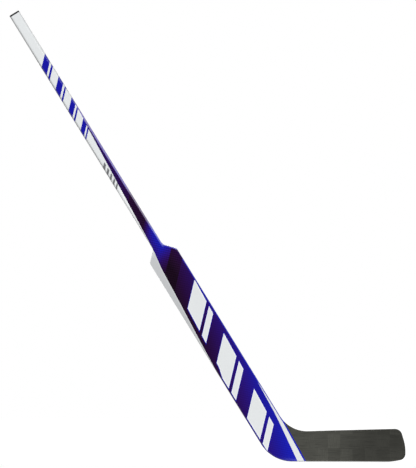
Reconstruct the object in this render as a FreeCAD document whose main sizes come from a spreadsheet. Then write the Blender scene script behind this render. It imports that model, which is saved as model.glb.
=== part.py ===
import FreeCAD, Part
import math
import os
import re

import Sketcher

# Ice hockey goalie stick, modelled as it rests on the ice with its blade to the right.
# X runs along the ice from heel to toe, Y from the front face to the back face, Z up.
# The origin lies on the sole, where the line of the paddle's toe-side edge meets the ice.
# The shaft and paddle are drawn in the stick's own frame: X across the stick towards the toe and
# Z up its axis, both measured from the point where that axis meets the ice.

# Name, value in millimetres or degrees, and what it measures.
SIZES = (
    ("lie_angle", 58.4, "angle of the axis above the ice"),
    ("stick_length", 1442, "ice to butt end, along the axis"),
    ("shaft_width", 29.5, "width of the shaft, seen from the front"),
    ("shaft_depth", 20, "depth of the shaft, front to back"),
    ("shaft_corner", 6.5, "corner radius of the shaft"),
    ("corner_swell", 50, "length over which the neck's edges swell to the shaft's corners"),
    ("shaft_wall", 2.2, "wall of the shaft"),
    ("cap_head", 3, "thickness of the cap on the butt"),
    ("cap_round", 1.2, "rounding of the cap's rim"),
    ("spigot_length", 30, "length of the cap's spigot"),
    ("spigot_wall", 1.8, "wall of the cap's spigot"),
    ("fit_clearance", 0.1, "gap round a piece that plugs into the shaft"),
    ("shoulder_height", 690, "ice to the top of the shoulders, along the axis"),
    ("neck_length", 14, "length of the neck that carries the shoulders' coves up to the shaft"),
    ("toe_cove_round", 22, "radius of the cove between neck and shoulder on the toe side"),
    ("heel_cove_round", 12, "radius of the cove between neck and shoulder on the heel side"),
    ("paddle_width", 84.5, "width of the paddle"),
    ("toe_shoulder_drop", 30, "height of the shoulder on the toe side"),
    ("toe_shoulder_round", 16, "rounding of that shoulder"),
    ("heel_shoulder_drop", 27, "height of the shoulder on the heel side"),
    ("heel_shoulder_round", 10, "rounding of that shoulder"),
    ("heel_depth", 12, "thickness of the paddle's heel and of the blade's root"),
    ("taper_foot", 125, "ice to where the paddle's thickness stops falling, along the axis"),
    ("edge_round", 3, "rounding of the paddle's edges"),
    ("blade_chamfer", 1.9, "chamfer along the blade's edges"),
    ("bevel_foot", 320, "ice to where the heel-side bevel runs out, along the axis"),
    ("bevel_edge", 8, "thickness left at the bevel's outer edge, at the shoulder"),
    ("skin_thickness", 1.2, "thickness of the laminates"),
    ("rail_width", 8, "width of the edge rails"),
    ("core_foot", 112, "ice to the foot of the foam cores, along the axis"),
    ("core_head", 645, "ice to the head of the foam cores, along the axis"),
    ("stringer_width", 5, "width of the strip between the foam cores"),
    ("tenon_width", 26, "width of the shaft's tenon"),
    ("tenon_length", 144, "length of the shaft's tenon"),
    ("tenon_wall", 1.8, "wall of the tenon at its foot"),
    ("tenon_collar", 6, "solid wall left above the tenon, where the bore steps in"),
    ("plug_length", 45, "length of the foam plug in the tenon"),
    ("heel_round", 100, "outer radius of the heel"),
    ("throat_round", 88, "radius between the paddle and the top of the blade"),
    ("throat_height", 81.5, "ice to the corner that the throat rounds"),
    ("toe_height", 90.4, "ice to the top corner of the toe"),
    ("rocker_length", 40, "length of the sole's rise under the toe"),
    ("rocker_rise", 7.2, "ice to the bottom corner of the toe"),
    ("rocker_round", 120, "radius between the sole and that rise"),
    ("toe_foot_reach", 316, "axis to the bottom corner of the toe, along the ice"),
    ("toe_foot_round", 18, "rounding of the toe's bottom corner"),
    ("toe_swell_height", 44, "ice to the corner that the toe's swell rounds"),
    ("toe_swell_round", 115, "radius of the toe's swell"),
    ("toe_lean", 13.6, "how far the toe's top corner stands back from its bottom corner"),
    ("toe_top_round", 20, "rounding of the toe's top corner"),
    ("toe_depth", 8, "thickness of the blade at the toe"),
    ("curve_start", 70, "axis to where the blade's curve begins, along the ice"),
    ("front_curve", 980, "radius of the hollow front face of the blade"),
    ("seam_setback", 4.6, "foot of the paddle's toe edge to the foot of the seam with the blade"),
    ("seam_lean", 2.6, "how much steeper than the paddle that seam stands"),
    ("band_width", 4, "width of the blade's edge band"),
    ("rib_height", 42, "ice to the middle of the blade's rib"),
    ("rib_thickness", 4, "thickness of the blade's rib"),
    ("spline_length", 80, "length of the key between heel block and blade"),
    ("spline_height", 34, "height of that key"),
    ("spline_depth", 5, "thickness of that key"),
    ("room", 20, "how far a cutting form reaches past what it cuts"),
)

doc = FreeCAD.newDocument("goalie_stick")
sheet = doc.addObject("Spreadsheet::Sheet", "Sizes")
for row, (name, number, meaning) in enumerate(SIZES, start=1):
    sheet.set(f"A{row}", meaning)
    sheet.set(f"B{row}", str(number))
    sheet.setAlias(f"B{row}", name)
doc.recompute()
NAMES = [name for name, number, meaning in SIZES]


def bound(expression):
    """The expression with each size written as a cell of the sheet."""
    return re.sub(r"[a-z_]+", lambda word: f"Sizes.{word[0]}" if word[0] in NAMES else word[0], expression)


def value(expression):
    """The number that an expression of sizes comes to."""
    return float(sheet.evalExpression(bound(expression)))


# Where the stick's axis meets the ice, seen from the origin.
AXIS_FOOT = "-(paddle_width / 2 / sin(lie_angle))"


def place(body, turned):
    """Puts a body at the foot of the axis, turned to the lie angle where it is drawn along the stick."""
    axis = FreeCAD.Rotation(FreeCAD.Vector(0, 1, 0), value("lie_angle - 90") if turned else 0)
    body.Placement = FreeCAD.Placement(FreeCAD.Vector(value(AXIS_FOOT), 0, 0), axis)
    body.setExpression("Placement.Base.x", bound(AXIS_FOOT))


def sketch_on(body, plane, height=None):
    """A sketch on one of the body's origin planes, raised by a height where one is given."""
    planes = {feature.Role: feature for feature in body.Origin.OriginFeatures}
    sketch = body.newObject("Sketcher::SketchObject", body.Name + "_sketch")
    sketch.AttachmentSupport = (planes[plane], [""])
    sketch.MapMode = "FlatFace"
    if height is not None:
        sketch.setExpression("AttachmentOffset.Base.z", bound(height))
    return sketch


def fix_point(sketch, item, end, x, y):
    """Ties a point of the sketch to the expressions of its two coordinates."""
    for kind, expression in (("DistanceX", x), ("DistanceY", y)):
        index = sketch.addConstraint(Sketcher.Constraint(kind, -1, 1, item, end, value(expression)))
        sketch.setExpression(f"Constraints[{index}]", bound(expression))


def round_corner(before, corner, after, radius):
    """Start, middle and end of the arc that rounds a corner between its two neighbours."""
    towards_before = (before - corner).normalize()
    towards_after = (after - corner).normalize()
    half_angle = towards_before.getAngle(towards_after) / 2
    setback = radius / math.tan(half_angle)
    inwards = (towards_before + towards_after).normalize()
    middle = corner + inwards * (radius / math.sin(half_angle) - radius)
    return corner + towards_before * setback, middle, corner + towards_after * setback


def draw_outline(sketch, corners):
    """Draws a closed outline through corners of (x, y, radius); a radius of None is a sharp corner."""
    points = [FreeCAD.Vector(value(x), value(y), 0) for x, y, radius in corners]
    count = len(corners)
    rounds = []
    for i, (x, y, radius) in enumerate(corners):
        if radius is None:
            rounds.append((points[i], points[i], points[i]))
        else:
            rounds.append(round_corner(points[i - 1], points[i], points[(i + 1) % count], value(radius)))
    sides = []
    for i in range(count):
        sides.append(sketch.addGeometry(Part.LineSegment(rounds[i][2], rounds[(i + 1) % count][0])))
    for i, (x, y, radius) in enumerate(corners):
        side_in, side_out = sides[i - 1], sides[i]
        if radius is None:
            sketch.addConstraint(Sketcher.Constraint("Coincident", side_in, 2, side_out, 1))
            fix_point(sketch, side_out, 1, x, y)
            continue
        corner = sketch.addGeometry(Part.Point(points[i]), True)
        fix_point(sketch, corner, 1, x, y)
        sketch.addConstraint(Sketcher.Constraint("PointOnObject", corner, 1, side_in))
        sketch.addConstraint(Sketcher.Constraint("PointOnObject", corner, 1, side_out))
        arc = sketch.addGeometry(Part.Arc(*rounds[i]))
        starts_first = sketch.getPoint(arc, 1).isEqual(rounds[i][0], 1e-6)
        first, last = (1, 2) if starts_first else (2, 1)
        sketch.addConstraint(Sketcher.Constraint("Tangent", side_in, 2, arc, first))
        sketch.addConstraint(Sketcher.Constraint("Tangent", arc, last, side_out, 1))
        index = sketch.addConstraint(Sketcher.Constraint("Radius", arc, value(radius)))
        sketch.setExpression(f"Constraints[{index}]", bound(radius))


def pad(body, sketch, length, symmetric=False, reverse=False):
    """Pads a sketch of the body by a length."""
    feature = body.newObject("PartDesign::Pad", body.Name + "_pad")
    feature.Profile = sketch
    feature.SideType = "Symmetric" if symmetric else "One side"
    feature.Reversed = reverse
    feature.setExpression("Length", bound(length))
    doc.recompute()
    return feature


def pocket(body, sketch, length):
    """Cuts a sketch of the body to a depth."""
    feature = body.newObject("PartDesign::Pocket", body.Name + "_pocket")
    feature.Profile = sketch
    feature.setExpression("Length", bound(length))
    doc.recompute()
    return feature


def prism(name, plane, corners, length, turned):
    """A straight solid of the given outline, as long on both sides of its plane."""
    body = doc.addObject("PartDesign::Body", name)
    sketch = sketch_on(body, plane)
    draw_outline(sketch, corners)
    pad(body, sketch, length, symmetric=True)
    place(body, turned)
    doc.recompute()
    return body


def common(name, *shapes):
    """What the given solids share."""
    result = doc.addObject("Part::MultiCommon", name)
    result.Shapes = list(shapes)
    result.Refine = True
    doc.recompute()
    return result


def cut(name, base, tool):
    """The base without the tool."""
    result = doc.addObject("Part::Cut", name)
    result.Base = base
    result.Tool = tool
    result.Refine = True
    doc.recompute()
    return result


def rectangle(left, bottom, right, top, radius=None):
    """The corners of an upright rectangle."""
    return [(left, bottom, radius), (right, bottom, radius), (right, top, radius), (left, top, radius)]


def centred(width, depth, radius=None):
    """The corners of a rectangle round the sketch's origin."""
    return rectangle(f"-({width}) / 2", f"-({depth}) / 2", f"({width}) / 2", f"({depth}) / 2", radius)


def on_ice(across, along):
    """A point of the stick's own frame, as it stands above the ice."""
    return (f"({across}) * sin(lie_angle) - ({along}) * cos(lie_angle)",
            f"({across}) * cos(lie_angle) + ({along}) * sin(lie_angle)")


def ease_edges(kind, name, base, size, stays_sharp):
    """Eases the edges between the broad faces and the narrow sides, but not on sides that stay sharp."""
    result = doc.addObject(kind, name)
    result.Base = base
    chosen = []
    for index, edge in enumerate(base.Shape.Edges, start=1):
        slopes = []
        for face in base.Shape.ancestorsOfType(edge, Part.Face):
            u0, u1, v0, v1 = face.ParameterRange
            slopes.append((abs(face.normalAt((u0 + u1) / 2, (v0 + v1) / 2).y), face))
        slopes.sort(key=lambda slope: slope[0])
        if slopes[0][0] < 0.1 and slopes[-1][0] > 0.8 and not stays_sharp(slopes[0][1]):
            chosen.append((index, value(size), value(size)))
    result.Edges = chosen
    doc.recompute()
    return result


# Half widths, and how far a cutting form goes so that it passes right through.
HALF_PADDLE = "paddle_width / 2"
HALF_SHAFT = "shaft_width / 2"
HALF_TENON = "tenon_width / 2"
HALF_STRINGER = "stringer_width / 2"
PAST_FACES = "2 * (shaft_depth + 2 * room)"
PAST_EDGE = "paddle_width / 2 + room"
NECK_TOP = "(shoulder_height + neck_length)"
TENON_FOOT = f"({NECK_TOP} - tenon_length)"


def half_depth(height):
    """Half the thickness of the paddle at a height on the axis, above the foot of its taper."""
    rise = f"(({height}) - taper_foot) / (shoulder_height - taper_foot)"
    return f"(heel_depth / 2 + (shaft_depth - heel_depth) / 2 * {rise})"


def ridge(height):
    """Where the edge of the bevel lies across the paddle, at a height on the axis."""
    fall = f"(shoulder_height - ({height})) / (shoulder_height - bevel_foot)"
    return f"(-shaft_width / 2 - (paddle_width - shaft_width) / 2 * {fall})"


def side_profile(name, front, back):
    """The paddle's flare from heel to shoulder, seen from the edge, with each face moved in by an inset."""
    low = f"-{PAST_EDGE}"
    high = f"{NECK_TOP} + room"
    return prism(name, "YZ_Plane", [
        (f"-heel_depth / 2 + {front}", low, None),
        (f"heel_depth / 2 - {back}", low, None),
        (f"heel_depth / 2 - {back}", "taper_foot", None),
        (f"shaft_depth / 2 - {back}", "shoulder_height", None),
        (f"shaft_depth / 2 - {back}", high, None),
        (f"-shaft_depth / 2 + {front}", high, None),
        (f"-shaft_depth / 2 + {front}", "shoulder_height", None),
        (f"-heel_depth / 2 + {front}", "taper_foot", None),
    ], f"2 * ({PAST_EDGE})", turned=True)


def bevel_form(name, side, inset):
    """What the heel-side bevel takes off the front (side -1) or back (side 1), moved in by an inset."""
    corner_height = "(shoulder_height - heel_shoulder_drop)"
    fall = f"({half_depth(corner_height)} - bevel_edge / 2) / ({ridge(corner_height)} + {HALF_PADDLE})"
    body = doc.addObject("PartDesign::Body", name)
    sketches = []
    for height in (f"({NECK_TOP} + room)", "(bevel_foot - room)"):
        face = f"({half_depth(height)} - {inset})"
        outside = f"{side} * ({face} + ({fall}) * room)"
        sketch = sketch_on(body, "XY_Plane", height)
        draw_outline(sketch, [
            (f"{ridge(height)} + room", outside, None),
            (f"-({PAST_EDGE})", outside, None),
            (f"-({PAST_EDGE})", f"{side} * ({face} - ({fall}) * ({ridge(height)} + {PAST_EDGE}))", None),
        ])
        sketches.append(sketch)
    loft = body.newObject("PartDesign::AdditiveLoft", name + "_loft")
    loft.Profile = sketches[0]
    loft.Sections = sketches[1:]
    loft.Ruled = True
    place(body, turned=True)
    doc.recompute()
    return body


def blade_plan(name, front, back):
    """The blade's bend and thinning from heel to toe, seen from above, each face moved in by an inset."""
    start, end = "-paddle_width", "toe_foot_reach + room"
    thinning = "2 * (heel_depth - toe_depth) / (toe_foot_reach - curve_start)^2"
    faces = (
        (f"-heel_depth / 2 + {front}", f"front_curve + {front}"),
        (f"heel_depth / 2 - {back}", f"1 / (1 / front_curve + {thinning}) - {back}"),
    )
    body = doc.addObject("PartDesign::Body", name)
    sketch = sketch_on(body, "XY_Plane")
    arcs = []
    lines = []
    for level, radius in faces:
        bend = FreeCAD.Vector(value("curve_start"), value(level), 0)
        root = FreeCAD.Vector(value(start), value(level), 0)
        centre = bend - FreeCAD.Vector(0, value(radius), 0)
        circle = Part.Circle(centre, FreeCAD.Vector(0, 0, 1), value(radius))
        sweep = math.asin(value(f"{end} - curve_start") / value(radius))
        line = sketch.addGeometry(Part.LineSegment(root, bend))
        arc = sketch.addGeometry(Part.ArcOfCircle(circle, math.pi / 2 - sweep, math.pi / 2))
        fix_point(sketch, line, 1, start, level)
        fix_point(sketch, line, 2, "curve_start", level)
        sketch.addConstraint(Sketcher.Constraint("Tangent", line, 2, arc, 2))
        index = sketch.addConstraint(Sketcher.Constraint("Radius", arc, value(radius)))
        sketch.setExpression(f"Constraints[{index}]", bound(radius))
        index = sketch.addConstraint(Sketcher.Constraint("DistanceX", -1, 1, arc, 1, value(end)))
        sketch.setExpression(f"Constraints[{index}]", bound(end))
        lines.append(line)
        arcs.append(arc)
    for pair, point in ((lines, 1), (arcs, 1)):
        ends = [sketch.getPoint(item, point) for item in pair]
        closing = sketch.addGeometry(Part.LineSegment(*ends))
        sketch.addConstraint(Sketcher.Constraint("Coincident", closing, 1, pair[0], point))
        sketch.addConstraint(Sketcher.Constraint("Coincident", closing, 2, pair[1], point))
    pad(body, sketch, "2 * (throat_height + 2 * throat_round)", symmetric=True)
    place(body, turned=False)
    doc.recompute()
    return body


def paddle_room(name, corners):
    """A straight form through the paddle, of an outline in the stick's own frame."""
    return prism(name, "XZ_Plane", corners, PAST_FACES, turned=True)


# Outline of paddle and blade together, seen from the front.
SEAM_FOOT = "(paddle_width / 2 / sin(lie_angle) - seam_setback)"
SEAM_SLOPE = "tan(lie_angle + seam_lean)"
outline = prism("outline", "XZ_Plane", [
    ("-(paddle_width / 2 / sin(lie_angle))", "0", "heel_round"),
    ("toe_foot_reach - rocker_length", "0", "rocker_round"),
    ("toe_foot_reach", "rocker_rise", "toe_foot_round"),
    ("toe_foot_reach", "toe_swell_height", "toe_swell_round"),
    ("toe_foot_reach - toe_lean", "toe_height", "toe_top_round"),
    ("paddle_width / 2 / sin(lie_angle) - throat_height / tan(lie_angle)", "throat_height", "throat_round"),
    (*on_ice(HALF_PADDLE, "(shoulder_height - toe_shoulder_drop)"), "toe_shoulder_round"),
    (*on_ice(HALF_SHAFT, "shoulder_height"), "toe_cove_round"),
    (*on_ice(HALF_SHAFT, NECK_TOP), None),
    (*on_ice(f"-{HALF_SHAFT}", NECK_TOP), None),
    (*on_ice(f"-{HALF_SHAFT}", "shoulder_height"), "heel_cove_round"),
    (*on_ice(f"-{HALF_PADDLE}", "(shoulder_height - heel_shoulder_drop)"), "heel_shoulder_round"),
], PAST_FACES, turned=False)
heel_side_of_seam = prism("heel_side_of_seam", "XZ_Plane", [
    (f"{SEAM_FOOT} + room / {SEAM_SLOPE}", "-room", None),
    (f"{SEAM_FOOT} - stick_length / {SEAM_SLOPE}", "stick_length", None),
    ("-2 * stick_length", "stick_length", None),
    ("-2 * stick_length", "-room", None),
], PAST_FACES, turned=False)
seam_normal = FreeCAD.Vector(value("sin(lie_angle + seam_lean)"), 0, value("cos(lie_angle + seam_lean)"))
axis_direction = FreeCAD.Vector(-value("cos(lie_angle)"), 0, value("sin(lie_angle)"))


def lies_along(direction):
    """A test for flat faces square to a direction."""
    def test(face):
        if not isinstance(face.Surface, Part.Plane):
            return False
        return face.Surface.Axis.cross(direction).Length < 1e-6
    return test


def on_seam_or_top(face):
    """Whether a face is the seam with the blade or the top of the paddle under the shaft."""
    return lies_along(seam_normal)(face) or lies_along(axis_direction)(face)


# Outer form of the paddle: flared profile, rounded edges, then the long bevel on both faces.
paddle_blank = common("paddle_blank", outline, heel_side_of_seam, side_profile("paddle_profile", "0", "0"))
paddle_rounded = ease_edges("Part::Fillet", "paddle_rounded", paddle_blank, "edge_round", on_seam_or_top)
paddle_front_bevelled = cut("paddle_front_bevelled", paddle_rounded, bevel_form("front_bevel", -1, "0"))
paddle_form = cut("paddle_form", paddle_front_bevelled, bevel_form("back_bevel", 1, "0"))

# The two laminates, and the layer between them.
behind_front_skin = cut("behind_front_skin", side_profile("front_backing", "skin_thickness", "(-room)"),
                        bevel_form("front_backing_bevel", -1, "skin_thickness"))
behind_back_skin = cut("behind_back_skin", side_profile("back_backing", "(-room)", "skin_thickness"),
                       bevel_form("back_backing_bevel", 1, "skin_thickness"))
paddle_front_skin = cut("paddle_front_skin", paddle_form, behind_front_skin)
paddle_back_skin = cut("paddle_back_skin", paddle_form, behind_back_skin)
paddle_layer = common("paddle_layer", paddle_form, behind_front_skin, behind_back_skin)


def mirrored(corners):
    """The same outline on the heel side of the axis."""
    return [(f"-({x})", y, radius) for x, y, radius in corners]


# Rails with their shoulders, and foam cores, on both sides of the axis.
RAIL_INSIDE = "(paddle_width / 2 - rail_width)"
RAIL = [
    (RAIL_INSIDE, "core_foot", None),
    (PAST_EDGE, "core_foot", None),
    (PAST_EDGE, f"{NECK_TOP} + room", None),
    (HALF_TENON, f"{NECK_TOP} + room", None),
    (HALF_TENON, "core_head", None),
    (RAIL_INSIDE, "core_head", None),
]
CORE = [
    (HALF_STRINGER, "core_foot", None),
    (RAIL_INSIDE, "core_foot", None),
    (RAIL_INSIDE, "core_head", None),
    (HALF_TENON, "core_head", None),
    (HALF_TENON, TENON_FOOT, None),
    (HALF_STRINGER, TENON_FOOT, None),
]
STRINGER = rectangle(f"-{HALF_STRINGER}", "core_foot", HALF_STRINGER, TENON_FOOT)
edge_rail_toe = common("edge_rail_toe", paddle_layer, paddle_room("toe_rail_room", RAIL))
edge_rail_heel = common("edge_rail_heel", paddle_layer, paddle_room("heel_rail_room", mirrored(RAIL)))
paddle_core_toe = common("paddle_core_toe", paddle_layer, paddle_room("toe_core_room", CORE))
paddle_core_heel = common("paddle_core_heel", paddle_layer, paddle_room("heel_core_room", mirrored(CORE)))
paddle_stringer = common("paddle_stringer", paddle_layer, paddle_room("stringer_room", STRINGER))

# Key between heel and blade, and the heel block with its slot for the key.
SEAM_AT_RIB = f"({SEAM_FOOT} - rib_height / {SEAM_SLOPE})"
heel_spline = prism("heel_spline", "XZ_Plane", rectangle(
    f"{SEAM_AT_RIB} - spline_length / 2", "rib_height - spline_height / 2",
    f"{SEAM_AT_RIB} + spline_length / 2", "rib_height + spline_height / 2",
), "spline_depth", turned=False)
HEEL = rectangle(f"-({PAST_EDGE})", f"-({PAST_EDGE})", PAST_EDGE, "core_foot")
heel_solid = common("heel_solid", paddle_layer, paddle_room("heel_room", HEEL))
heel_block = cut("heel_block", heel_solid, heel_spline)

# Outer form of the blade, its edge band, its laminates and what lies between them.
blade_blank = common("blade_blank", outline, blade_plan("blade_bend", "0", "0"))
blade_beyond_seam = cut("blade_beyond_seam", blade_blank, heel_side_of_seam)
blade_form = ease_edges("Part::Chamfer", "blade_form", blade_beyond_seam, "blade_chamfer",
                        lies_along(seam_normal))
band_line = doc.addObject("Part::Offset2D", "band_line")
band_line.Source = outline.Tip.Profile[0]
band_line.setExpression("Value", bound("-band_width"))
inside_band = doc.addObject("Part::Extrusion", "inside_band")
inside_band.Base = band_line
inside_band.Dir = FreeCAD.Vector(0, 1, 0)
inside_band.DirMode = "Custom"
inside_band.Solid = True
inside_band.Symmetric = True
inside_band.setExpression("LengthFwd", bound(PAST_FACES))
place(inside_band, turned=False)
doc.recompute()
blade_edge_band = cut("blade_edge_band", blade_form, inside_band)
blade_plate = common("blade_plate", blade_form, inside_band)
behind_blade_front = blade_plan("behind_blade_front", "skin_thickness", "(-room)")
behind_blade_back = blade_plan("behind_blade_back", "(-room)", "skin_thickness")
between_blade_skins = blade_plan("between_blade_skins", "skin_thickness", "skin_thickness")
blade_front_skin = cut("blade_front_skin", blade_plate, behind_blade_front)
blade_back_skin = cut("blade_back_skin", blade_plate, behind_blade_back)
blade_layer = common("blade_layer", blade_plate, between_blade_skins)
blade_filling = cut("blade_filling", blade_layer, heel_spline)
RIB_UNDER = "rib_height - rib_thickness / 2"
RIB_OVER = "rib_height + rib_thickness / 2"


def blade_strip(name, bottom, top):
    """The part of the blade's filling between two heights."""
    corners = rectangle("-paddle_width", bottom, "toe_foot_reach + room", top)
    return common(name, blade_filling, prism(name + "_room", "XZ_Plane", corners, PAST_FACES, turned=False))


blade_core_lower = blade_strip("blade_core_lower", "-room", RIB_UNDER)
blade_rib = blade_strip("blade_rib", RIB_UNDER, RIB_OVER)
blade_core_upper = blade_strip("blade_core_upper", RIB_OVER, "throat_height + 2 * throat_round")


def section(body, height, width, depth, corner):
    """A rounded rectangle round the axis at a height."""
    sketch = sketch_on(body, "XY_Plane", height)
    draw_outline(sketch, centred(width, depth, corner))
    return sketch


# Shaft: tube above the neck, tapered tenon below, bored from both ends.
BORE_WIDTH = "(shaft_width - 2 * shaft_wall)"
BORE_DEPTH = "(shaft_depth - 2 * shaft_wall)"
BORE_CORNER = "(shaft_corner - shaft_wall)"
TENON_BORE_WIDTH = "(tenon_width - 2 * tenon_wall)"
TENON_BORE_DEPTH = f"(2 * ({half_depth(TENON_FOOT)} - skin_thickness - tenon_wall))"
COLLAR_TOP = f"({NECK_TOP} + tenon_collar)"
TUBE_TOP = "stick_length - cap_head"
SWELL_TOP = f"({NECK_TOP} + corner_swell)"
shaft_blank = doc.addObject("PartDesign::Body", "shaft_blank")
swell = shaft_blank.newObject("PartDesign::AdditiveLoft", "shaft_blank_loft")
swell.Profile = section(shaft_blank, NECK_TOP, "shaft_width", "shaft_depth", "edge_round")
swell.Sections = [section(shaft_blank, SWELL_TOP, "shaft_width", "shaft_depth", "shaft_corner")]
swell.Ruled = True
doc.recompute()
pad(shaft_blank, section(shaft_blank, SWELL_TOP, "shaft_width", "shaft_depth", "shaft_corner"),
    f"{TUBE_TOP} - {SWELL_TOP}")
place(shaft_blank, turned=True)
TENON = rectangle(f"-{HALF_TENON}", TENON_FOOT, HALF_TENON, NECK_TOP)
tenon_blank = common("tenon_blank", behind_front_skin, behind_back_skin, paddle_room("tenon_room", TENON))
shaft_solid = doc.addObject("Part::Fuse", "shaft_solid")
shaft_solid.Base = shaft_blank
shaft_solid.Tool = tenon_blank
bore = doc.addObject("PartDesign::Body", "bore")
pad(bore, section(bore, COLLAR_TOP, BORE_WIDTH, BORE_DEPTH, BORE_CORNER), f"stick_length - {COLLAR_TOP}")
pad(bore, section(bore, f"{TENON_FOOT} - room", TENON_BORE_WIDTH, TENON_BORE_DEPTH, BORE_CORNER),
    "tenon_length + room + tenon_collar")
place(bore, turned=True)
shaft_tube = cut("shaft_tube", shaft_solid, bore)

# Foam plug in the foot of the tenon.
tenon_plug = doc.addObject("PartDesign::Body", "tenon_plug")
pad(tenon_plug, section(tenon_plug, TENON_FOOT, f"{TENON_BORE_WIDTH} - 2 * fit_clearance",
                        f"{TENON_BORE_DEPTH} - 2 * fit_clearance", BORE_CORNER), "plug_length")
place(tenon_plug, turned=True)

# Cap on the butt: head, then a hollow spigot down inside the tube.
SPIGOT_WIDTH = f"({BORE_WIDTH} - 2 * fit_clearance)"
SPIGOT_DEPTH = f"({BORE_DEPTH} - 2 * fit_clearance)"
butt_cap = doc.addObject("PartDesign::Body", "butt_cap")
cap_section = section(butt_cap, TUBE_TOP, "shaft_width", "shaft_depth", "shaft_corner")
cap_top = pad(butt_cap, cap_section, "cap_head")
rim = butt_cap.newObject("PartDesign::Fillet", "butt_cap_rim")
rim.Base = (cap_top, [f"Edge{i}" for i, edge in enumerate(cap_top.Shape.Edges, start=1)
                      if edge.BoundBox.ZMin > value(f"{TUBE_TOP} + cap_head / 2")])
rim.setExpression("Radius", bound("cap_round"))
doc.recompute()
spigot_section = section(butt_cap, TUBE_TOP, SPIGOT_WIDTH, SPIGOT_DEPTH, BORE_CORNER)
pad(butt_cap, spigot_section, "spigot_length", reverse=True)
SPIGOT_BORE = (f"{SPIGOT_WIDTH} - 2 * spigot_wall", f"{SPIGOT_DEPTH} - 2 * spigot_wall")
pocket(butt_cap, section(butt_cap, TUBE_TOP, *SPIGOT_BORE, f"{BORE_CORNER} - spigot_wall"), "spigot_length")
place(butt_cap, turned=True)
doc.recompute()

PIECES = (
    shaft_tube, butt_cap, tenon_plug,
    paddle_front_skin, paddle_back_skin, edge_rail_toe, edge_rail_heel,
    paddle_core_toe, paddle_core_heel, paddle_stringer, heel_block, heel_spline,
    blade_front_skin, blade_back_skin, blade_edge_band, blade_core_upper, blade_core_lower, blade_rib,
)
for item in doc.Objects:
    if "Invalid" in item.State or "Error" in item.State:
        raise RuntimeError(f"{item.Label} failed: {item.State}")
for piece in PIECES:
    if piece.Shape.isNull() or not piece.Shape.isValid() or len(piece.Shape.Solids) != 1:
        raise RuntimeError(f"{piece.Label} is not one sound solid")
os.makedirs("parts", exist_ok=True)
for piece in PIECES:
    piece.Shape.exportStep(f"parts/{piece.Label}.step")
    print(piece.Label, round(piece.Shape.Volume / 1000, 2), "cm3")
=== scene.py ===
import math
from collections import namedtuple

import bmesh
import bpy
from bpy.props import FloatProperty, FloatVectorProperty, PointerProperty
from mathutils import Matrix, Vector

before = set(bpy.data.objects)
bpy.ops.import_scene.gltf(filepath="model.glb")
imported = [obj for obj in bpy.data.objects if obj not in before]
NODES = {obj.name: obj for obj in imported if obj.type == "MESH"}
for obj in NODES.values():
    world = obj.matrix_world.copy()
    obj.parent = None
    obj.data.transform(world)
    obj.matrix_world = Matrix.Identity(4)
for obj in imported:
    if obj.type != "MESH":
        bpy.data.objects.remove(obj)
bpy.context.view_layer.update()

bl_info = {
    "name": "Goalie stick looks",
    "version": (1, 0, 0),
    "blender": (4, 5, 0),
    "location": "View3D > Sidebar > Stick",
    "description": "Finishes the solids of a hockey goalie stick and sets up its studio",
    "category": "Object",
}

PRINTED_NODES = (
    "shaft_tube", "paddle_front_skin", "paddle_back_skin", "edge_rail_toe", "edge_rail_heel", "heel_block",
)
BLADE_FACES = ("blade_front_skin", "blade_back_skin")
FOAM_NODES = ("tenon_plug", "paddle_core_toe", "paddle_core_heel", "blade_core_upper", "blade_core_lower")
LAMINATE_NODES = ("heel_spline", "blade_rib")

MM_PER_M = 1000.0
BLACK = (0, 0, 0)
WHITE = (1, 1, 1)

# Patterns are measured in millimetres. On the stick, across runs towards the toe, along runs up its axis from
# the ice, and slant is along less the rise of the bars.
# A rise is (start, end, value at the start, value at the end). Colours are screen colours from 0 to 255.

# Edge between the white and the coloured side, as (along, across).
WHITE_EDGE = (
    (280, -52), (320, -42), (340, -40.4), (400, -37.3), (560, -26.6), (620, -23.5), (640, -21.8), (680, -16),
    (700, -14.1), (1060, 7.4), (1110, 11.3), (1161, 13.6), (1180, 20),
)

# Level of the ground colour on the paddle, just below the shaft and on the shaft, as (along, level).
PADDLE_LEVEL = ((-60, 176), (20, 169), (100, 148), (200, 131), (300, 107), (400, 83), (500, 72), (600, 50))
SHOULDER_LEVEL = ((610, 30), (630, 56), (640, 74), (650, 92), (660, 117), (670, 142), (680, 165), (800, 168))
SHAFT_LEVEL = ((840, 62), (860, 68), (880, 74), (900, 78), (1000, 92), (1180, 96))
# How far the level below the shaft may go, as a rise across, and how it fades again, as (slant, share).
SHOULDER_LIMIT = (-30, 10, 86, 178)
SHOULDER_FADE = ((600, 1), (716, 1), (730, 0.93), (740, 0.8), (750, 0.62), (758, 0.46), (780, 0.3))
# Bluer edge of the paddle on the toe side: where it starts and is full across, and its level.
EDGE_ACROSS = (37, 41.5)
EDGE_LEVEL = 185
# Dark band on the paddle, as (lowest, highest) on the slant. Its level is a rise across, with paler rises at
# the toe-side edge and at the top of the shoulder, which falls towards the toe. These paler rises are painted
# highlights on those rounded edges.
PADDLE_BAND = (587, 638)
PADDLE_BAND_LEVEL = (0, 40, 26, 64)
PADDLE_BAND_EDGE_HIGHLIGHT = (38, 41.5, 0, 120)
PADDLE_BAND_TOP_HIGHLIGHT = (697, 703, 0, 160)
SHOULDER_FALL = 1.1
# Dark band on the shaft, as (lowest, highest) on the slant, and its level.
SHAFT_BAND = (761, 843)
SHAFT_BAND_LEVEL = 46
# The ground colour by its level, from dark purple to blue, as (share of the highest level, colour).
HIGHEST_LEVEL = 200
GROUND_COLOURS = (
    (0.135, (26, 11, 27)), (0.22, (36, 14, 44)), (0.27, (38, 12, 54)), (0.37, (41, 14, 74)),
    (0.47, (42, 16, 94)), (0.575, (42, 19, 115)), (0.675, (39, 23, 135)), (0.77, (33, 26, 154)),
    (0.815, (30, 28, 163)), (0.86, (29, 31, 172)), (0.92, (28, 33, 184)),
)

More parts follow.
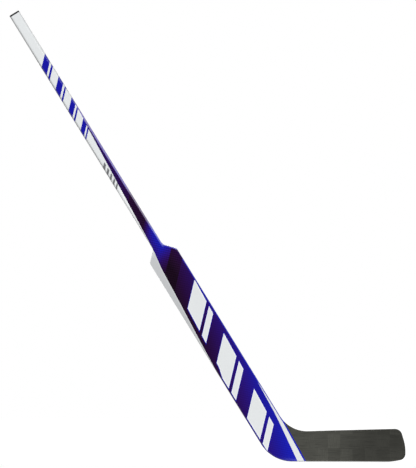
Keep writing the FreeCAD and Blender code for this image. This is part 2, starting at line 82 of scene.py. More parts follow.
# Bias weave of the laminate: its turn in radians for each millimetre, the shares of its two ways, and its
# strength and the brightness it is laid on, as rises on the slant.
WEAVE_TURN = 0.75
WEAVE_SHARES = (0.75, 0.25)
WEAVE_STRENGTH = (540, 600, 0.12, 0.35)
WEAVE_GROUND = (540, 600, 0.93, 1.0)

# Paler pearl-tinted print line along the toe-side corner of the shaft, which also paints the highlight of
# that
# rounded corner: its start across as a rise along, its end across, its share as (along, share), and its
# colours as (share of the way between two places along, colour).
CORNER_START = (850, 870, 11, 10.4)
CORNER_START_SOFTNESS = 0.7
CORNER_END = 14.4
CORNER_PEARL_AND_HIGHLIGHT_SHARE = (
    (680, 0), (695, 0.5), (745, 0.5), (775, 0.4), (850, 0.4), (880, 0.65), (1000, 0.6), (1180, 0.6),
)
CORNER_ALONG = (700, 900)
CORNER_PEARL_AND_HIGHLIGHT_COLOURS = ((0.22, (150, 156, 246)), (0.37, (180, 162, 208)), (0.75, (180, 162, 208)))
CORNER_FULL = 0.9

# Slanted white bars on the paddle, as (lowest, highest) on the slant.
PADDLE_BARS = ((94, 118), (132, 200), (258, 282), (296, 364), (422, 444), (458, 522))
# Where they end: on the heel side that far from the white, but inside the paddle's edge, and on the toe side
# at a line of (along, across).
BAR_INSET = 12.0
BAR_HEEL_LIMIT = -37.6
BAR_TOE_END = ((-60, 6), (60, 12.7), (560, 39), (600, 39))
# Widths of the blue line round them and of their border.
BAR_LINE = 2.2
BAR_BORDER = 2.4

# White stripe along the heel's seam: its two edges, as (along, across).
HEEL_STRIPE_LEFT = ((-60, 12.7), (100, 31.1), (140, 34.6), (220, 38.8), (300, 46))
HEEL_STRIPE_RIGHT = ((-60, 32), (0, 35.2), (80, 39.4), (100, 40.1), (300, 39.6))

# White side: its tone from the bevel up the shaft, as (share of the way between two places along, colour),
# and where the plain white of the shaft starts on that way. The grey of the bevel is painted shade, and the
# whiter stretch of the shaft's heel-side corner above the neck is painted light.
WHITE_ALONG = (400, 1000)
WHITE_PAINTED_SHADE_AND_LIGHT = (
    (0.0, (197, 199, 200)), (0.45, (207, 209, 211)), (0.5, (246, 249, 250)), (0.77, (246, 249, 250)),
)
WHITE_PLAIN = 0.86
# Its shade past the shaft's corners: where it starts across, and its share as a rise along.
HEEL_SHADE_START = -11.0
HEEL_SHADE = (860, 960, 0.0, 0.2)
TOE_SHADE_START = 10.0
TOE_SHADE = (1150, 1180, 0.0, 0.12)
SHADE_SOFTNESS = 0.8
# Its painted highlight along the crest of the bevel: width, and share as a rise along.
CREST_HIGHLIGHT_WIDTH = 2.2
CREST_HIGHLIGHT_SHARE = (660, 690, 0.6, 0.0)
# Blue bars and grey ticks on it, as (lowest, highest) on the slant, and where the ticks end across.
SHAFT_BARS = (
    (1056, 1062), (1068, 1086), (1114, 1121), (1128, 1149), (1178, 1185), (1193, 1217), (1247, 1255),
    (1263, 1289),
)
SHAFT_TICKS = ((896, 902), (910, 917), (925, 933), (941, 950), (958, 968))
TICK_END = -3.0

# Dark seal under the cap: where it starts along, and its colour.
SEAL_START = 1437.6
SEAL_COLOUR = (24, 24, 26)

# Painted shade along the blade, darker towards the toe where its curve turns the face from the light, from
# the heel to the toe, as (x, tone).
BLADE_PAINTED_SHADE = (
    (-60, 0.96), (30, 1.04), (70, 1.02), (100, 0.94), (130, 0.795), (160, 0.665), (240, 0.645), (270, 0.715),
)
TAPE_CORNER = (-12.6, -2.4)
LAMINATE_CHECK = 6.0
# Scales of the noise along x, y and z for the fibres of level and upright tape and for the gaps between them.
LEVEL_FIBRES = (60.0, 60.0, 1400.0)
UPRIGHT_FIBRES = (1400.0, 60.0, 60.0)
TAPE_GAPS = (20.0, 20.0, 520.0)
# Shade of each check by its chance, and of its fibres, gaps and clouds, as rises, and how much paler upright
# tape is, a painted sheen for the way its fibres run.
CHECK_SHADE = (0, 1, 0.855, 1.05)
FIBRE_SHADE = (0.25, 0.75, 0.8, 1.2)
GAP_SHADE = (0.56, 0.68, 1.01, 0.7)
CLOUD_SHADE = (0.3, 0.7, 0.95, 1.05)
UPRIGHT_PAINTED_SHEEN = 0.09
# Roughness of the blade's faces and rim, and how much rougher the dullest fibres are.
FACE_ROUGHNESS = 0.36
RIM_ROUGHNESS = 0.3
FIBRE_ROUGHNESS = 0.14
# Height over which the rim is painted paler along the sole as painted light, and how much paler it is there.
SOLE_HIGHLIGHT_HEIGHT = (1.0, 8.0)
RIM_SOLE_HIGHLIGHT = 0.8

# Stage, in metres. The floor ends close in front of the stick, so that its lower front faces don't mirror it.
FLOOR_RADIUS = 2.4
FLOOR_CENTRE = (-0.27, 2.15, -0.0003)
FLOOR_GREY = (0.15, 0.15, 0.15)
FLOOR_GLOW = 0.87
WALL_RADIUS = 30
WALL_HEIGHT = 24
WALL_CENTRE = (0, 0, 0.6)
CARD_CENTRE = (-7.48, 0, 6)
CARD_HALF_SIZE = (7, 3)
SOFTBOX_TILT = math.radians(50)
SOFTBOX_CENTRE = (0, 0, 8)
SOFTBOX_HALF_SIZE = (3.5, 2.6)

# Lamps: where they shine from, and their spread in degrees.
KEY_LIGHT = ((-0.04, -0.84, 0.541), 44)
BACK_LIGHT = ((0.15, 0.84, 0.52), 30)
HEEL_LIGHT = ((-0.69, 0.7, 0.164), 30)

# Camera: width of its sensor in millimetres, and how far it sees in metres.
SENSOR_WIDTH = 36
SIGHT = 200

# A place on the stick: the vector in millimetres, and the numbers for across, along and slant.
Spot = namedtuple("Spot", "vector across along slant")


def screen(red, green, blue):
    """The linear colour of a screen colour given from 0 to 255."""
    shares = (red / 255, green / 255, blue / 255)
    return tuple(n / 12.92 if n <= 0.04045 else ((n + 0.055) / 1.055) ** 2.4 for n in shares)


def screen_stops(stops):
    """Stops of a ramp, with their screen colours made linear."""
    return [(place, screen(*colour)) for place, colour in stops]


def mixed(share, first, second):
    """One colour between two others."""
    return tuple(a + (b - a) * share for a, b in zip(first, second))


def length(name, description, default):
    """A size in metres that a user may change."""
    return FloatProperty(name=name, description=description, default=default, unit="LENGTH", precision=4)


def tint(name, description, default):
    """A colour that a user may change."""
    return FloatVectorProperty(
        name=name, description=description, default=default, subtype="COLOR", min=0, max=1)


def strength(name, description, default):
    """A brightness that a user may change."""
    return FloatProperty(name=name, description=description, default=default, min=0)


class StickPrint(bpy.types.PropertyGroup):
    """Where the print lies on the stick, and its colours."""

    lie: FloatProperty(
        name="Lie", description="Angle of the shaft above the ice", default=math.radians(58.4),
        subtype="ANGLE")
    axis_foot: length("Axis foot", "Where the shaft's axis meets the ice, left of the origin", 0.0496)
    slant: FloatProperty(
        name="Slant", description="Rise of the bars for each step towards the toe", default=1.0)
    white: tint("White", "Lacquer on the shaft and the bevel", screen(232, 235, 236))
    bar_white: tint("Bar white", "Bars and stripe on the paddle", screen(230, 233, 234))
    bar_border: tint("Bar border", "Brighter border of those bars", screen(243, 245, 246))
    bar_blue: tint("Bar blue", "Bars on the shaft and lines round the white bars", screen(27, 25, 164))
    # Pearl-tinted line that also paints the highlight of the shaft's rounded toe-side corner.
    corner: tint("Corner", "Paler line along the shaft's toe-side corner", screen(158, 148, 234))
    tick_grey: tint("Tick grey", "Small ticks on the shaft", screen(120, 121, 124))


class StickFinish(bpy.types.PropertyGroup):
    """Colours and scale of the bare materials."""

    carbon: tint("Carbon", "Carbon tape on the blade", screen(72, 72, 67))
    laminate: tint("Laminate", "Bare carbon laminate inside", screen(52, 52, 48))
    cap: tint("Cap", "Plastic of the butt cap", screen(20, 20, 22))
    foam: tint("Foam", "Rigid foam inside", screen(226, 214, 180))
    wood: tint("Wood", "Stiff strip inside the paddle", screen(196, 160, 112))
    wood_grain: tint("Wood grain", "Darkest grain of that strip", (0.1, 0.05, 0.02))
    tape_width: length("Tape width", "Width of the upright carbon tape", 0.0337)
    tape_height: length("Tape height", "Width of the level carbon tape", 0.0384)


class StickStudio(bpy.types.PropertyGroup):
    """Camera and light."""

    distance: length("Distance", "Camera to object", 20.0)
    view_height: length("View height", "Height of the picture at the object", 1.2823)
    view_centre: FloatVectorProperty(
        name="View centre", description="Middle of the picture, on the object",
        default=(-0.2737, 0.0, 0.6232), unit="LENGTH")
    key: strength("Key", "Strength of the light from the front and above", 3.5)
    back: strength("Back", "Strength of the light from behind", 1.8)
    heel: strength("Heel", "Strength of the light from behind the heel", 1.3)
    card: strength("Card", "Brightness of the card that the toe side reflects", 1.3)
    softbox: strength("Softbox", "Brightness of the softbox that upper edges reflect", 3.4)
    wall: strength("Wall", "Brightness of the walls that flat faces reflect", 0.015)
    fill: strength("Fill", "Strength of the even light from all round", 0.08)


class GoalieStick(bpy.types.PropertyGroup):
    """Everything that can be set for the stick."""

    design: PointerProperty(type=StickPrint)
    finish: PointerProperty(type=StickFinish)
    studio: PointerProperty(type=StickStudio)


class Finish:
    """A material and short calls for the nodes in it."""

    def __init__(self, name):
        self.material = bpy.data.materials.new(name)
        self.material.use_nodes = True
        self.tree = self.material.node_tree
        self.tree.nodes.clear()
        self.shader = self.add("ShaderNodeBsdfPrincipled")
        output = self.add("ShaderNodeOutputMaterial")
        self.tree.links.new(self.shader.outputs["BSDF"], output.inputs["Surface"])

    def add(self, kind, **settings):
        """A new node with the given settings."""
        node = self.tree.nodes.new(kind)
        for name, value in settings.items():
            setattr(node, name, value)
        return node

    def feed(self, socket, source):
        """Links a socket to the output of another node, or sets its number or colour."""
        if isinstance(source, bpy.types.NodeSocket):
            self.tree.links.new(source, socket)
        elif socket.type == "RGBA" and len(source) == 3:
            socket.default_value = (*source, 1)
        else:
            socket.default_value = source

    def set(self, **inputs):
        """Feeds inputs of the surface shader, with underscores for spaces."""
        for name, source in inputs.items():
            self.feed(self.shader.inputs[name.replace("_", " ")], source)

    def math(self, operation, first, second=0.0, clamp=False):
        """One sum of two numbers."""
        node = self.add("ShaderNodeMath", operation=operation, use_clamp=clamp)
        self.feed(node.inputs[0], first)
        self.feed(node.inputs[1], second)
        return node.outputs[0]

    def rescale(self, source, low, high, new_low=0.0, new_high=1.0):
        """A number moved from one range to another, and held inside it."""
        node = self.add("ShaderNodeMapRange", clamp=True)
        for socket, number in zip(node.inputs, (source, low, high, new_low, new_high)):
            self.feed(socket, number)
        return node.outputs["Result"]

    def past(self, distance, softness=0.3):
        """1 where a distance is above zero, 0 where it is below, with a short soft edge."""
        return self.rescale(distance, -softness, softness)

    def above(self, first, second, softness=0.3):
        """1 where the first number is above the second, with a short soft edge."""
        return self.past(self.math("SUBTRACT", first, second), softness)

    def between(self, source, low, high):
        """1 where a number lies between two others, with short soft edges."""
        off_middle = self.math("ABSOLUTE", self.math("SUBTRACT", source, (low + high) / 2))
        return self.above((high - low) / 2, off_middle)

    def follow(self, source, points):
        """A number read off a line through the given points."""
        starts = [start for start, value in points]
        values = [value for start, value in points]
        reach = starts[-1] - starts[0]
        lowest = min(values)
        span = max(values) - lowest
        places = [((start - starts[0]) / reach, (value - lowest) / span) for start, value in points]
        node = self.add("ShaderNodeFloatCurve")
        curve = node.mapping.curves[0]
        curve.points[0].location = places[0]
        curve.points[1].location = places[-1]
        for place in places[1:-1]:
            curve.points.new(*place)
        for point in curve.points:
            point.handle_type = "VECTOR"
        node.mapping.update()
        self.feed(node.inputs["Value"], self.rescale(source, starts[0], starts[-1]))
        return self.math("ADD", self.math("MULTIPLY", node.outputs[0], span), lowest)

    def mix(self, kind, share, first, second, **settings):
        """Two numbers or colours mixed by a share."""
        node = self.add("ShaderNodeMix", data_type=kind, **settings)
        for name, source in (("Factor", share), ("A", first), ("B", second)):
            self.feed(node.inputs[name], source)
        return node.outputs["Result"]

    def either(self, share, first, second):
        """Two numbers blended by a share."""
        return self.mix("FLOAT", share, first, second)

    def blend(self, share, first, second, mode="MIX"):
        """Two colours blended by a share."""
        return self.mix("RGBA", share, first, second, blend_type=mode)

    def ramp(self, source, stops):
        """A colour read off a ramp of (place, colour)."""
        node = self.add("ShaderNodeValToRGB")
        elements = node.color_ramp.elements
        for element, (place, colour) in zip(elements, (stops[0], stops[-1])):
            element.position = place
            element.color = (*colour, 1)
        for place, colour in stops[1:-1]:
            elements.new(place).color = (*colour, 1)
        self.feed(node.inputs["Fac"], source)
        return node.outputs["Color"]

    def place(self, scale=(MM_PER_M, MM_PER_M, MM_PER_M), turn=(0, 0, 0), shift=(0, 0, 0)):
        """Object coordinates, scaled, then turned, then shifted."""
        node = self.add("ShaderNodeMapping")
        self.feed(node.inputs["Vector"], self.add("ShaderNodeTexCoord").outputs["Object"])
        self.feed(node.inputs["Scale"], scale)
        self.feed(node.inputs["Rotation"], turn)
        self.feed(node.inputs["Location"], shift)
        return node.outputs["Vector"]

    def split(self, vector):
        """The three numbers of a vector."""
        node = self.add("ShaderNodeSeparateXYZ")
        self.feed(node.inputs[0], vector)
        return node.outputs

    def join(self, *numbers):
        """A vector of up to three numbers."""
        node = self.add("ShaderNodeCombineXYZ")
        for socket, number in zip(node.inputs, numbers):
            self.feed(socket, number)
        return node.outputs[0]

    def noise(self, vector, scale, detail=2.0, roughness=0.5):
        """Soft noise from 0 to 1."""
        node = self.add("ShaderNodeTexNoise")
        self.feed(node.inputs["Vector"], vector)
        self.feed(node.inputs["Scale"], scale)
        self.feed(node.inputs["Detail"], detail)
        self.feed(node.inputs["Roughness"], roughness)
        return node.outputs["Fac"]

    def bump(self, height, depth):
        """A surface normal from a height from 0 to 1, that deep in metres."""
        node = self.add("ShaderNodeBump")
        self.feed(node.inputs["Height"], height)
        self.feed(node.inputs["Distance"], depth)
        self.feed(node.inputs["Strength"], 1.0)
        return node.outputs["Normal"]


def settings(context):
    """The stick's own settings in the scene."""
    return context.scene.goalie_stick


def dress(names, finish):
    """Gives a finish to the named solids."""
    for name in names:
        mesh = NODES[name].data
        mesh.materials.clear()
        mesh.materials.append(finish.material)


def stick_spot(finish, design):
    """The place on the stick that is shaded."""
    turn = math.pi / 2 - design.lie
    foot = design.axis_foot * MM_PER_M
    vector = finish.place(turn=(0, turn, 0), shift=(foot * math.cos(turn), 0, -foot * math.sin(turn)))
    across, _, along = finish.split(vector)
    slant = finish.math("SUBTRACT", along, finish.math("MULTIPLY", across, design.slant))
    return Spot(vector, across, along, slant)


def ground_colour(finish, spot):
    """The colour that goes from purple to blue, with its two dark bands."""
    paddle = finish.math("ADD", finish.follow(spot.along, PADDLE_LEVEL), spot.across)
    limit = finish.rescale(spot.across, *SHOULDER_LIMIT)
    shoulder = finish.math("MINIMUM", limit, finish.follow(spot.along, SHOULDER_LEVEL))
    shoulder = finish.math("MULTIPLY", shoulder, finish.follow(spot.slant, SHOULDER_FADE))
    shaft = finish.follow(spot.along, SHAFT_LEVEL)
    level = finish.either(finish.above(spot.slant, sum(PADDLE_BAND) / 2), paddle, shoulder)
    level = finish.either(finish.above(spot.slant, sum(SHAFT_BAND) / 2), level, shaft)
    level = finish.either(finish.rescale(spot.across, *EDGE_ACROSS), level, EDGE_LEVEL)
    top = finish.math("ADD", spot.along, finish.math("MULTIPLY", spot.across, SHOULDER_FALL))
    # The paler rises at the toe-side edge and the shoulder's top are painted highlights on those rounded
    # edges.
    band = finish.rescale(spot.across, *PADDLE_BAND_LEVEL)
    for paler in (finish.rescale(spot.across, *PADDLE_BAND_EDGE_HIGHLIGHT), finish.rescale(top, *PADDLE_BAND_TOP_HIGHLIGHT)):
        band = finish.math("MAXIMUM", band, paler)
    level = finish.either(finish.between(spot.slant, *PADDLE_BAND), level, band)
    level = finish.either(finish.between(spot.slant, *SHAFT_BAND), level, SHAFT_BAND_LEVEL)
    share = finish.math("DIVIDE", level, HIGHEST_LEVEL, clamp=True)
    return finish.ramp(share, screen_stops(GROUND_COLOURS))


def bias_weave(finish, spot):
    """Waves of a bias weave, stronger one way than the other."""
    weave = 0.0
    for operation, share in zip(("ADD", "SUBTRACT"), WEAVE_SHARES):
        turn = finish.math("MULTIPLY", finish.math(operation, spot.across, spot.along), WEAVE_TURN)
        weave = finish.math("ADD", weave, finish.math("MULTIPLY", finish.math("SINE", turn), share))
    return weave


def corner_pearl_and_highlight(finish, design, spot, colour):
    """Adds the paler pearl-tinted line along the toe-side corner of the shaft, which also paints that rounded
    corner's highlight.
    """
    start = finish.rescale(spot.along, *CORNER_START)
    on_corner = finish.math(
        "MULTIPLY",
        finish.above(spot.across, start, CORNER_START_SOFTNESS),
        finish.above(CORNER_END, spot.across))
    share = finish.math("MULTIPLY", on_corner, finish.follow(spot.along, CORNER_PEARL_AND_HIGHLIGHT_SHARE))
    stops = (*screen_stops(CORNER_PEARL_AND_HIGHLIGHT_COLOURS), (CORNER_FULL, design.corner))
    return finish.blend(share, colour, finish.ramp(finish.rescale(spot.along, *CORNER_ALONG), stops))


def bars(finish, slant, ranges, margin=0.0):
    """1 on any of the slanted bars, each made wider by a margin."""
    union = 0.0
    for low, high in ranges:
        union = finish.math("MAXIMUM", union, finish.between(slant, low - margin, high + margin))
    return union


def paddle_bars(finish, design, spot, edge, colour):
    """Adds the white bars on the paddle, with a brighter border and a thin blue line round them."""
    first = finish.math("MAXIMUM", finish.math("ADD", edge, BAR_INSET), BAR_HEEL_LIMIT)
    last = finish.follow(spot.along, BAR_TOE_END)
    for margin, paint in (
        (BAR_LINE, design.bar_blue), (0.0, design.bar_border), (-BAR_BORDER, design.bar_white),
    ):
        off_first = finish.math("ADD", finish.math("SUBTRACT", spot.across, first), margin)
        off_last = finish.math("ADD", finish.math("SUBTRACT", last, spot.across), margin)
        inside = finish.past(finish.math("MINIMUM", off_first, off_last))
        share = finish.math("MULTIPLY", inside, bars(finish, spot.slant, PADDLE_BARS, margin))
        colour = finish.blend(share, colour, paint)
    return colour


def heel_stripe(finish, design, spot, colour):
    """Adds the white stripe along the heel's seam."""
    share = finish.math(
        "MULTIPLY",
        finish.above(spot.across, finish.follow(spot.along, HEEL_STRIPE_LEFT)),
        finish.above(finish.follow(spot.along, HEEL_STRIPE_RIGHT), spot.across))
    return finish.blend(share, colour, design.bar_white)


def white_side(finish, design, spot, edge):
    """White lacquer with painted shade greying the bevel and the shaft past its corners, painted light
    whitening the bevel's crest and the heel-side corner above the neck, and blue bars and grey ticks on the
    shaft.
    """
    stops = (*screen_stops(WHITE_PAINTED_SHADE_AND_LIGHT), (WHITE_PLAIN, design.white))
    # The ramp paints shade on the bevel and light on the heel-side corner above the neck.
    white = finish.ramp(finish.rescale(spot.along, *WHITE_ALONG), stops)
    # Painted shade on the shaft past its two corners.
    for past_corner, shade in (
        (finish.above(HEEL_SHADE_START, spot.across, SHADE_SOFTNESS), HEEL_SHADE),
        (finish.above(spot.across, TOE_SHADE_START, SHADE_SOFTNESS), TOE_SHADE),
    ):
        share = finish.math("MULTIPLY", past_corner, finish.rescale(spot.along, *shade))
        white = finish.blend(share, white, BLACK)
    # Painted highlight along the bevel's crest.
    on_crest = finish.above(spot.across, finish.math("SUBTRACT", edge, CREST_HIGHLIGHT_WIDTH))
    crest = finish.math("MULTIPLY", on_crest, finish.rescale(spot.along, *CREST_HIGHLIGHT_SHARE))
    white = finish.blend(crest, white, design.white)
    white = finish.blend(bars(finish, spot.slant, SHAFT_BARS), white, design.bar_blue)
    ticks = bars(finish, spot.slant, SHAFT_TICKS)
    ticks = finish.math("MULTIPLY", ticks, finish.above(TICK_END, spot.across))
    return finish.blend(ticks, white, design.tick_grey)


def print_lacquer(design):
    """Clear-coated print of the shaft and the paddle."""
    finish = Finish("stick_lacquer")
    spot = stick_spot(finish, design)
    colour = ground_colour(finish, spot)

    # The weave of the laminate shows through the print, most where it is dark.
    weave = bias_weave(finish, spot)
    through = finish.math("MULTIPLY", weave, finish.rescale(spot.slant, *WEAVE_STRENGTH))
    through = finish.math("ADD", through, finish.rescale(spot.slant, *WEAVE_GROUND))
    colour = finish.blend(1.0, colour, through, "MULTIPLY")

    # Paler corner line: pearl-tinted print and painted highlight.
    colour = corner_pearl_and_highlight(finish, design, spot, colour)
    edge = finish.follow(spot.along, WHITE_EDGE)
    colour = paddle_bars(finish, design, spot, edge, colour)
    colour = heel_stripe(finish, design, spot, colour)
    colour = finish.blend(finish.above(edge, spot.across), colour, white_side(finish, design, spot, edge))
    colour = finish.blend(finish.above(spot.along, SEAL_START), colour, screen(*SEAL_COLOUR))

    # Slight unevenness of the print and the clear coat.
    mottle = finish.noise(spot.vector, scale=0.02, detail=4.0, roughness=0.6)
    colour = finish.blend(finish.rescale(mottle, 0.3, 0.7, 0.0, 0.05), colour, (0.5, 0.5, 0.5), "MULTIPLY")
    peel = finish.noise(spot.vector, scale=0.35, detail=3.0)
    height = finish.math("ADD", finish.math("MULTIPLY", peel, 0.7), finish.math("MULTIPLY", weave, 0.06))
    finish.set(
        Base_Color=colour,
        Roughness=finish.rescale(mottle, 0.2, 0.8, 0.3, 0.42),
        Specular_IOR_Level=0.0,
        Coat_Weight=1.0,
        Coat_Roughness=0.08,
        Normal=finish.bump(height, 0.00003),
    )
    return finish


def carbon_tape(finish, width, height):
    """Checks of carbon tape laid both ways: chance of each check, 1 where it is upright, and its fibres."""
    x, _, z = finish.split(finish.place())
    column = finish.math("FLOOR", finish.math("DIVIDE", finish.math("SUBTRACT", x, TAPE_CORNER[0]), width))
    row = finish.math("FLOOR", finish.math("DIVIDE", finish.math("SUBTRACT", z, TAPE_CORNER[1]), height))
    chance = finish.add("ShaderNodeTexWhiteNoise", noise_dimensions="3D")
    finish.feed(chance.inputs["Vector"], finish.join(column, row))
    upright = finish.math("FLOORED_MODULO", finish.math("ADD", column, row), 2.0)
    level_fibres = finish.noise(finish.place(LEVEL_FIBRES), scale=1.0, detail=3.0, roughness=0.6)
    upright_fibres = finish.noise(finish.place(UPRIGHT_FIBRES), scale=1.0, detail=3.0, roughness=0.6)
    return chance.outputs["Value"], upright, finish.either(upright, level_fibres, upright_fibres)


def blade_carbon(name, bare, roughness, sole_highlight=0.0):
    """Satin clear coat over wide carbon tape, paler by a share along the sole as painted light."""
    finish = Finish(name)
    chance, upright, fibres = carbon_tape(finish, bare.tape_width * MM_PER_M, bare.tape_height * MM_PER_M)
    vector = finish.place()
    x, _, z = finish.split(vector)
    gaps = finish.noise(finish.place(TAPE_GAPS), scale=1.0)
    clouds = finish.noise(vector, scale=0.03, detail=3.0)
    # The tone along the blade is painted shade, darker towards the toe.
    shares = [
        finish.follow(x, BLADE_PAINTED_SHADE),
        finish.rescale(fibres, *FIBRE_SHADE),
        finish.rescale(gaps, *GAP_SHADE),
        finish.rescale(clouds, *CLOUD_SHADE),
    ]
    # Painted light: the rim is paler near the sole.
    if sole_highlight:
        shares.append(finish.rescale(z, *SOLE_HIGHLIGHT_HEIGHT, 1 + sole_highlight, 1.0))
    # Upright checks are paler, a painted sheen for the way their fibres run.
    shade = finish.math(
        "ADD", finish.rescale(chance, *CHECK_SHADE), finish.math("MULTIPLY", upright, UPRIGHT_PAINTED_SHEEN))
    for share in shares:
        shade = finish.math("MULTIPLY", shade, share)
    finish.set(
        Base_Color=finish.blend(1.0, finish.join(shade, shade, shade), bare.carbon, "MULTIPLY"),
        Roughness=finish.rescale(fibres, 0.2, 0.8, roughness, roughness + FIBRE_ROUGHNESS),
        Specular_IOR_Level=0.1,
        Normal=finish.bump(fibres, 0.00005),
    )
    return finish


def moulded_plastic(bare):
    """Fine-grained plastic of the cap."""
    finish = Finish("cap_moulded_plastic")
    vector = finish.place()
    grain = finish.noise(vector, scale=2.4)
    mottle = finish.noise(vector, scale=0.15, detail=3.0)
    dark = mixed(0.3, bare.cap, BLACK)
    finish.set(
        Base_Color=finish.blend(finish.rescale(mottle, 0.3, 0.7), dark, bare.cap),
        Roughness=finish.rescale(grain, 0.3, 0.7, 0.45, 0.6),
        Specular_IOR_Level=0.25,
        Normal=finish.bump(grain, 0.0001),
    )
    return finish


def rigid_foam(bare):
    """Closed cells of rigid foam."""
    finish = Finish("core_rigid_foam")
    cells = finish.add("ShaderNodeTexVoronoi")
    finish.feed(cells.inputs["Vector"], finish.place())
    finish.feed(cells.inputs["Scale"], 0.9)
    shade = finish.rescale(cells.outputs["Distance"], 0.1, 0.8)
    pale = mixed(0.25, bare.foam, WHITE)
    finish.set(
        Base_Color=finish.blend(shade, bare.foam, pale),
        Roughness=0.9,
        Specular_IOR_Level=0.2,
        Normal=finish.bump(shade, 0.0003),
    )
    return finish


def stringer_wood(bare, lie):
    """Wood with a straight grain along the stick."""
    finish = Finish("stringer_straight_grain")
    vector = finish.place((900.0, 900.0, 40.0), turn=(0, math.pi / 2 - lie, 0))
    grain = finish.noise(vector, scale=0.8, detail=4.0, roughness=0.6)
    dark = mixed(0.45, bare.wood, bare.wood_grain)
    finish.set(
        Base_Color=finish.blend(finish.rescale(grain, 0.35, 0.7), bare.wood, dark),
        Roughness=finish.rescale(grain, 0.2, 0.8, 0.5, 0.7),
        Normal=finish.bump(grain, 0.0002),
    )
    return finish


def bare_laminate(bare):
    """Bare carbon laminate of the hidden keys."""
    finish = Finish("hidden_bare_laminate")
    chance, _, fibres = carbon_tape(finish, LAMINATE_CHECK, LAMINATE_CHECK)
    dark = mixed(0.6, bare.laminate, BLACK)
    finish.set(
        Base_Color=finish.blend(finish.rescale(fibres, 0.3, 0.7), dark, bare.laminate),
        Roughness=finish.rescale(chance, 0, 1, 0.45, 0.6),
        Normal=finish.bump(fibres, 0.0001),
    )
    return finish


class STICK_OT_print(bpy.types.Operator):
    """Prints and clear-coats the shaft, the paddle and the heel"""

    bl_idname = "goalie_stick.print_lacquer"
    bl_label = "Print the shaft and paddle"

    def execute(self, context):
        dress(PRINTED_NODES, print_lacquer(settings(context).design))
        return {"FINISHED"}


class STICK_OT_blade(bpy.types.Operator):
    """Gives the blade its carbon tape, and its rim painted light along the sole"""

    bl_idname = "goalie_stick.blade"
    bl_label = "Finish the blade"

    def execute(self, context):
        bare = settings(context).finish
        dress(BLADE_FACES, blade_carbon("blade_carbon_tape", bare, FACE_ROUGHNESS))
        dress(("blade_edge_band",), blade_carbon("blade_rim_carbon", bare, RIM_ROUGHNESS, RIM_SOLE_HIGHLIGHT))
        return {"FINISHED"}


class STICK_OT_cap(bpy.types.Operator):
    """Gives the butt cap its moulded grain"""

    bl_idname = "goalie_stick.cap"
    bl_label = "Finish the cap"

    def execute(self, context):
        dress(("butt_cap",), moulded_plastic(settings(context).finish))
        return {"FINISHED"}


class STICK_OT_inside(bpy.types.Operator):
    """Gives the hidden pieces their foam, wood and laminate"""

    bl_idname = "goalie_stick.inside"
    bl_label = "Finish the inside"

    def execute(self, context):
        stick = settings(context)
        dress(FOAM_NODES, rigid_foam(stick.finish))
        dress(("paddle_stringer",), stringer_wood(stick.finish, stick.design.lie))
        dress(LAMINATE_NODES, bare_laminate(stick.finish))
        return {"FINISHED"}


def seen_or_mirrored(tree):
    """1 for what the camera, reflections and glass see, 0 for the light that reaches the object."""
    path = tree.nodes.new("ShaderNodeLightPath")
    seen = path.outputs["Is Camera Ray"]
    for name in ("Is Glossy Ray", "Is Transmission Ray"):
        most = tree.nodes.new("ShaderNodeMath")
        most.operation = "MAXIMUM"
        tree.links.new(seen, most.inputs[0])
        tree.links.new(path.outputs[name], most.inputs[1])
        seen = most.outputs[0]
    return seen


def set_sky(scene, fill):
    """Even light from all round, which is plain white where it is seen or mirrored."""
    world = bpy.data.worlds.new("studio_sky")
    scene.world = world
    world.use_nodes = True
    tree = world.node_tree
    tree.nodes.clear()
    mix = tree.nodes.new("ShaderNodeMixShader")
    tree.links.new(seen_or_mirrored(tree), mix.inputs[0])
    for socket, brightness in ((mix.inputs[1], fill), (mix.inputs[2], 1.0)):
        background = tree.nodes.new("ShaderNodeBackground")
        background.inputs["Color"].default_value = (*WHITE, 1)
        background.inputs["Strength"].default_value = brightness
        tree.links.new(background.outputs[0], socket)
    output = tree.nodes.new("ShaderNodeOutputWorld")
    tree.links.new(mix.outputs[0], output.inputs["Surface"])


def stage_piece(name, shape, finish):
    """An object of the stage from a bmesh, with its finish."""
    mesh = bpy.data.meshes.new(name)
    shape.to_mesh(mesh)
    shape.free()
    mesh.materials.append(finish.material)
    piece = bpy.data.objects.new(name, mesh)
    bpy.context.scene.collection.objects.link(piece)
    return piece


def lay_floor():
    """Pale floor, topped up to white where it is seen or mirrored, so that only shadows show on it."""
    disc = bmesh.new()
    bmesh.ops.create_circle(
        disc, cap_ends=True, segments=96, radius=FLOOR_RADIUS, matrix=Matrix.Translation(FLOOR_CENTRE))
    pale = Finish("floor_pale")
    pale.set(
        Base_Color=FLOOR_GREY,
        Roughness=0.9,
        Specular_IOR_Level=0.1,
        Emission_Color=WHITE,
        Emission_Strength=pale.math("MULTIPLY", seen_or_mirrored(pale.tree), FLOOR_GLOW),
    )
    stage_piece("floor", disc, pale)


def reflected_only(name, shape, brightness):
    """A piece of the stage that glows evenly, for reflections only."""
    glow = Finish(name + "_glow")
    glow.set(
        Base_Color=BLACK,
        Roughness=1.0,
        Specular_IOR_Level=0.0,
        Emission_Color=WHITE,
        Emission_Strength=brightness,
    )
    piece = stage_piece(name, shape, glow)
    piece.visible_camera = False
    piece.visible_diffuse = False
    piece.visible_shadow = False
    piece.visible_transmission = False


def reflecting_card(name, turned, centre, half_size, brightness):
    """A flat card that only reflections see, moved to its centre and then turned round the origin."""
    card = bmesh.new()
    matrix = turned @ Matrix.Translation(centre) @ Matrix.Diagonal((*half_size, 1, 1))
    bmesh.ops.create_grid(card, x_segments=1, y_segments=1, size=1, matrix=matrix)
    reflected_only(name, card, brightness)


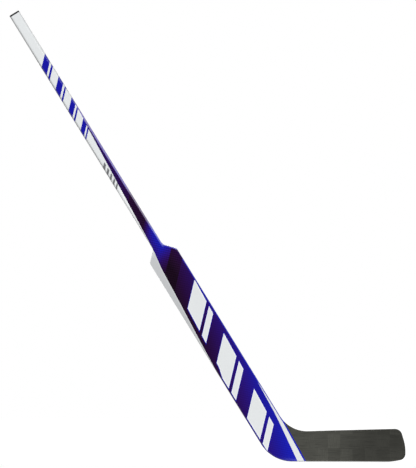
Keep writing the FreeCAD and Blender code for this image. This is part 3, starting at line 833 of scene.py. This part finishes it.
def hang_reflectors(studio, lie):
    """Dim walls round the studio, a card beside the toe and a softbox above."""
    ring = bmesh.new()
    bmesh.ops.create_cone(
        ring, segments=64, radius1=WALL_RADIUS, radius2=WALL_RADIUS, depth=WALL_HEIGHT,
        matrix=Matrix.Translation(WALL_CENTRE))
    reflected_only("studio_wall", ring, studio.wall)
    turned = Matrix.Rotation(lie, 4, "Y")
    reflecting_card("toe_card", turned, CARD_CENTRE, CARD_HALF_SIZE, studio.card)
    turned = Matrix.Rotation(SOFTBOX_TILT, 4, "X")
    reflecting_card("top_softbox", turned, SOFTBOX_CENTRE, SOFTBOX_HALF_SIZE, studio.softbox)


def studio_light(name, direction, spread, brightness, mirrored=True):
    """A broad, even light from a direction, and whether glossy faces mirror it."""
    lamp = bpy.data.lights.new(name, "SUN")
    lamp.energy = brightness
    lamp.angle = math.radians(spread)
    holder = bpy.data.objects.new(name, lamp)
    holder.rotation_euler = Vector(direction).to_track_quat("Z", "Y").to_euler()
    holder.visible_glossy = mirrored
    bpy.context.scene.collection.objects.link(holder)


def place_camera(scene, studio):
    """A long lens straight in front. The picture is upright, so the sensor's width lies along its height."""
    lens = bpy.data.cameras.new("camera")
    lens.sensor_width = SENSOR_WIDTH
    lens.lens = SENSOR_WIDTH * studio.distance / studio.view_height
    lens.clip_end = SIGHT
    camera = bpy.data.objects.new("camera", lens)
    camera.location = Vector(studio.view_centre) - Vector((0, studio.distance, 0))
    camera.rotation_euler = (math.pi / 2, 0, 0)
    scene.collection.objects.link(camera)
    scene.camera = camera


class STICK_OT_studio(bpy.types.Operator):
    """Sets up floor, light, background and camera"""

    bl_idname = "goalie_stick.studio"
    bl_label = "Set up the studio"

    def execute(self, context):
        scene = context.scene
        stick = settings(context)
        studio = stick.studio
        scene.view_settings.view_transform = "Standard"
        set_sky(scene, studio.fill)
        lay_floor()
        hang_reflectors(studio, stick.design.lie)
        studio_light("key_light", *KEY_LIGHT, studio.key, mirrored=False)
        studio_light("back_light", *BACK_LIGHT, studio.back)
        studio_light("heel_light", *HEEL_LIGHT, studio.heel)
        place_camera(scene, studio)
        return {"FINISHED"}


OPERATORS = (STICK_OT_print, STICK_OT_blade, STICK_OT_cap, STICK_OT_inside, STICK_OT_studio)


class STICK_PT_panel(bpy.types.Panel):
    """Settings and steps of the goalie stick"""

    bl_label = "Goalie stick"
    bl_idname = "STICK_PT_panel"
    bl_space_type = "VIEW_3D"
    bl_region_type = "UI"
    bl_category = "Stick"

    def draw(self, context):
        stick = settings(context)
        for group in (stick.design, stick.finish, stick.studio):
            box = self.layout.box()
            for name in group.__annotations__:
                box.prop(group, name)
        for operator in OPERATORS:
            self.layout.operator(operator.bl_idname)


CLASSES = (StickPrint, StickFinish, StickStudio, GoalieStick, *OPERATORS, STICK_PT_panel)


def register():
    """Adds the classes and the stick's settings."""
    for item in CLASSES:
        bpy.utils.register_class(item)
    bpy.types.Scene.goalie_stick = PointerProperty(type=GoalieStick)


def unregister():
    """Takes the settings and the classes away again."""
    del bpy.types.Scene.goalie_stick
    for item in reversed(CLASSES):
        bpy.utils.unregister_class(item)


def main():
    """Finishes the stick and its studio."""
    register()
    for operator in OPERATORS:
        group, name = operator.bl_idname.split(".")
        getattr(getattr(bpy.ops, group), name)()


if __name__ == "__main__":
    main()
